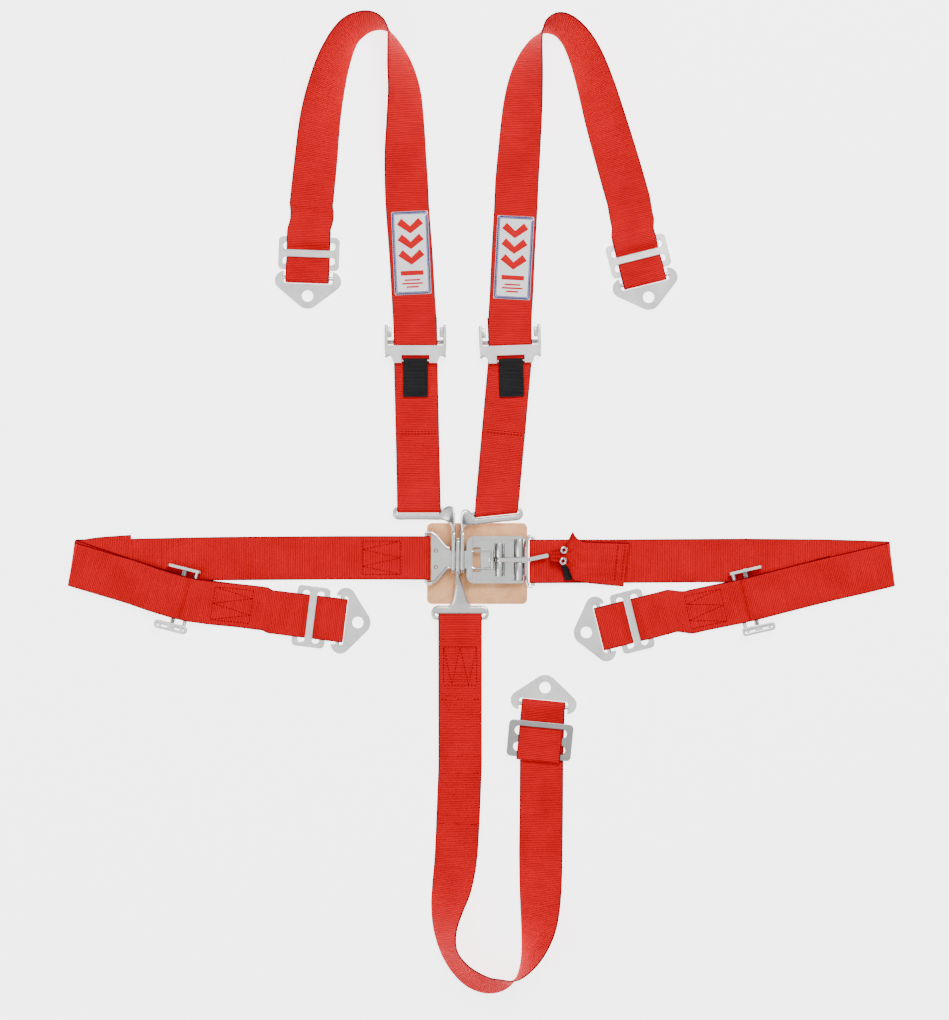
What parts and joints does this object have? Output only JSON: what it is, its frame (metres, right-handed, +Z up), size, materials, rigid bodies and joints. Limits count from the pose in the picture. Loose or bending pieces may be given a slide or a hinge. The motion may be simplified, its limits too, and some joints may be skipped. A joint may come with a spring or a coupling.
{
  "type": "racing harness",
  "caption": "Racing harness laid flat: shoulder, lap and crotch webbing straps meeting at a lever latch with link and tongues, sliding-bar adjusters, slides and bolt-in anchor plates.",
  "frame": {"origin": "middle of the laid-out footprint, at the floor it lies on", "axes": "+Y from the crotch strap to the shoulder loops, +X to the wearer-facing right of the layout where the lever latch is, +Z up from the floor"},
  "size_m": [0.948, 1.12, 0.051],
  "materials": {
    "webbing": "ribbed polyester webbing, bright red, cross ribs and darker woven edges, lockstitched in red",
    "tab_webbing": "red webbing, gathered at the lever and creased",
    "black_webbing": "fine black webbing",
    "label": "white woven patch with a blue stitched border and plain red bars",
    "zinc_steel": "zinc plated pressed steel, satin",
    "dark_steel": "darker grey plated steel, satin",
    "knurled_steel": "knurled bar, plated",
    "tongue_steel": "plated forged steel, satin with polished edges",
    "bright_steel": "polished plated steel",
    "latch_steel": "plated latch body, fairly bright with fine scratches",
    "spring_steel": "spring steel",
    "eyelet_nickel": "nickel plated eyelet",
    "pad_leather": "tan leather with fine grain and a dark cut edge"
  },
  "bodies": {
    "harness": {"shoulder_strap_left": "webbing", "shoulder_strap_right": "webbing", "shoulder_lower_left": "webbing", "shoulder_lower_right": "webbing", "lap_strap_left": "webbing", "lap_strap_right": "webbing", "lap_anchor_strap_left": "webbing", "lap_anchor_strap_right": "webbing", "crotch_strap": "webbing", "label_patch_left": "label", "label_patch_right": "label", "slide_shoulder_left": "zinc_steel", "slide_shoulder_right": "zinc_steel", "slide_lap_left": "zinc_steel", "slide_lap_right": "zinc_steel", "slide_crotch": "dark_steel", "adjuster_frame_shoulder_left": "zinc_steel", "adjuster_frame_shoulder_right": "zinc_steel", "adjuster_frame_lap_left": "zinc_steel", "adjuster_frame_lap_right": "zinc_steel", "tongue_left": "tongue_steel", "tongue_right": "tongue_steel", "tongue_crotch": "tongue_steel", "link_plate": "tongue_steel", "link_tongue": "bright_steel", "link_rivets": "bright_steel", "latch_body": "latch_steel", "latch_end_plate": "latch_steel", "latch_cross_tube": "latch_steel", "lever_pin": "bright_steel", "lever_spring": "spring_steel", "latch_pad": "pad_leather"},
    "anchor_shoulder_left": {"anchor_plate_shoulder_left": "zinc_steel"},
    "anchor_shoulder_right": {"anchor_plate_shoulder_right": "zinc_steel"},
    "anchor_lap_left": {"anchor_plate_lap_left": "zinc_steel"},
    "anchor_lap_right": {"anchor_plate_lap_right": "zinc_steel"},
    "anchor_crotch": {"anchor_plate_crotch": "zinc_steel"},
    "adjuster_bar_shoulder_left": {"adjuster_bar_shoulder_left": "knurled_steel"},
    "adjuster_bar_shoulder_right": {"adjuster_bar_shoulder_right": "knurled_steel"},
    "adjuster_bar_lap_left": {"adjuster_bar_lap_left": "knurled_steel"},
    "adjuster_bar_lap_right": {"adjuster_bar_lap_right": "knurled_steel"},
    "release_tab_left": {"release_tab_left": "black_webbing"},
    "release_tab_right": {"release_tab_right": "black_webbing"},
    "lever": {"lever": "bright_steel", "pull_tab": "tab_webbing", "pull_tab_eyelet": "eyelet_nickel", "pull_tab_keeper": "black_webbing"}
  },
  "joints": [
    {"name": "anchor_hinge_shoulder_left", "type": "hinge", "parent": "harness", "child": "anchor_shoulder_left", "pos_m": [-0.1985, 0.2605, 0.0042], "axis": [-0.9994, 0.0349, 0], "range_deg": [0, 100]},
    {"name": "anchor_hinge_shoulder_right", "type": "hinge", "parent": "harness", "child": "anchor_shoulder_right", "pos_m": [0.1865, 0.2585, 0.0042], "axis": [-0.9703, -0.2419, 0], "range_deg": [0, 100]},
    {"name": "anchor_hinge_lap_left", "type": "hinge", "parent": "harness", "child": "anchor_lap_left", "pos_m": [-0.162, -0.1315, 0.0042], "axis": [-0.1219, -0.9925, 0], "range_deg": [0, 100]},
    {"name": "anchor_hinge_lap_right", "type": "hinge", "parent": "harness", "child": "anchor_lap_right", "pos_m": [0.14, -0.1405, 0.0042], "axis": [-0.2419, 0.9703, 0], "range_deg": [0, 100]},
    {"name": "anchor_hinge_crotch", "type": "hinge", "parent": "harness", "child": "anchor_crotch", "pos_m": [0.0708, -0.229, 0.0042], "axis": [0.9954, -0.0958, 0], "range_deg": [0, 100]},
    {"name": "adjuster_slide_shoulder_left", "type": "slide", "parent": "harness", "child": "adjuster_bar_shoulder_left", "axis": [0, 1, 0], "range_m": [0, 0.0025]},
    {"name": "adjuster_slide_shoulder_right", "type": "slide", "parent": "harness", "child": "adjuster_bar_shoulder_right", "axis": [-0.0349, 0.9994, 0], "range_m": [0, 0.0025]},
    {"name": "adjuster_slide_lap_left", "type": "slide", "parent": "harness", "child": "adjuster_bar_lap_left", "axis": [-0.9703, 0.2419, 0], "range_m": [0, 0.0025]},
    {"name": "adjuster_slide_lap_right", "type": "slide", "parent": "harness", "child": "adjuster_bar_lap_right", "axis": [0.9744, 0.225, 0], "range_m": [0, 0.0025]},
    {"name": "release_tab_hinge_left", "type": "hinge", "parent": "harness", "child": "release_tab_left", "pos_m": [-0.0755, 0.1655, 0.011], "axis": [-1, 0, 0], "range_deg": [0, 100]},
    {"name": "release_tab_hinge_right", "type": "hinge", "parent": "harness", "child": "release_tab_right", "pos_m": [0.03351, 0.16551, 0.011], "axis": [-0.9994, -0.0349, 0], "range_deg": [0, 100]},
    {"name": "lever_hinge", "type": "hinge", "parent": "harness", "child": "lever", "pos_m": [0.0205, -0.062, 0.0155], "axis": [0, -1, 0], "range_deg": [0, 75]}
  ]
}
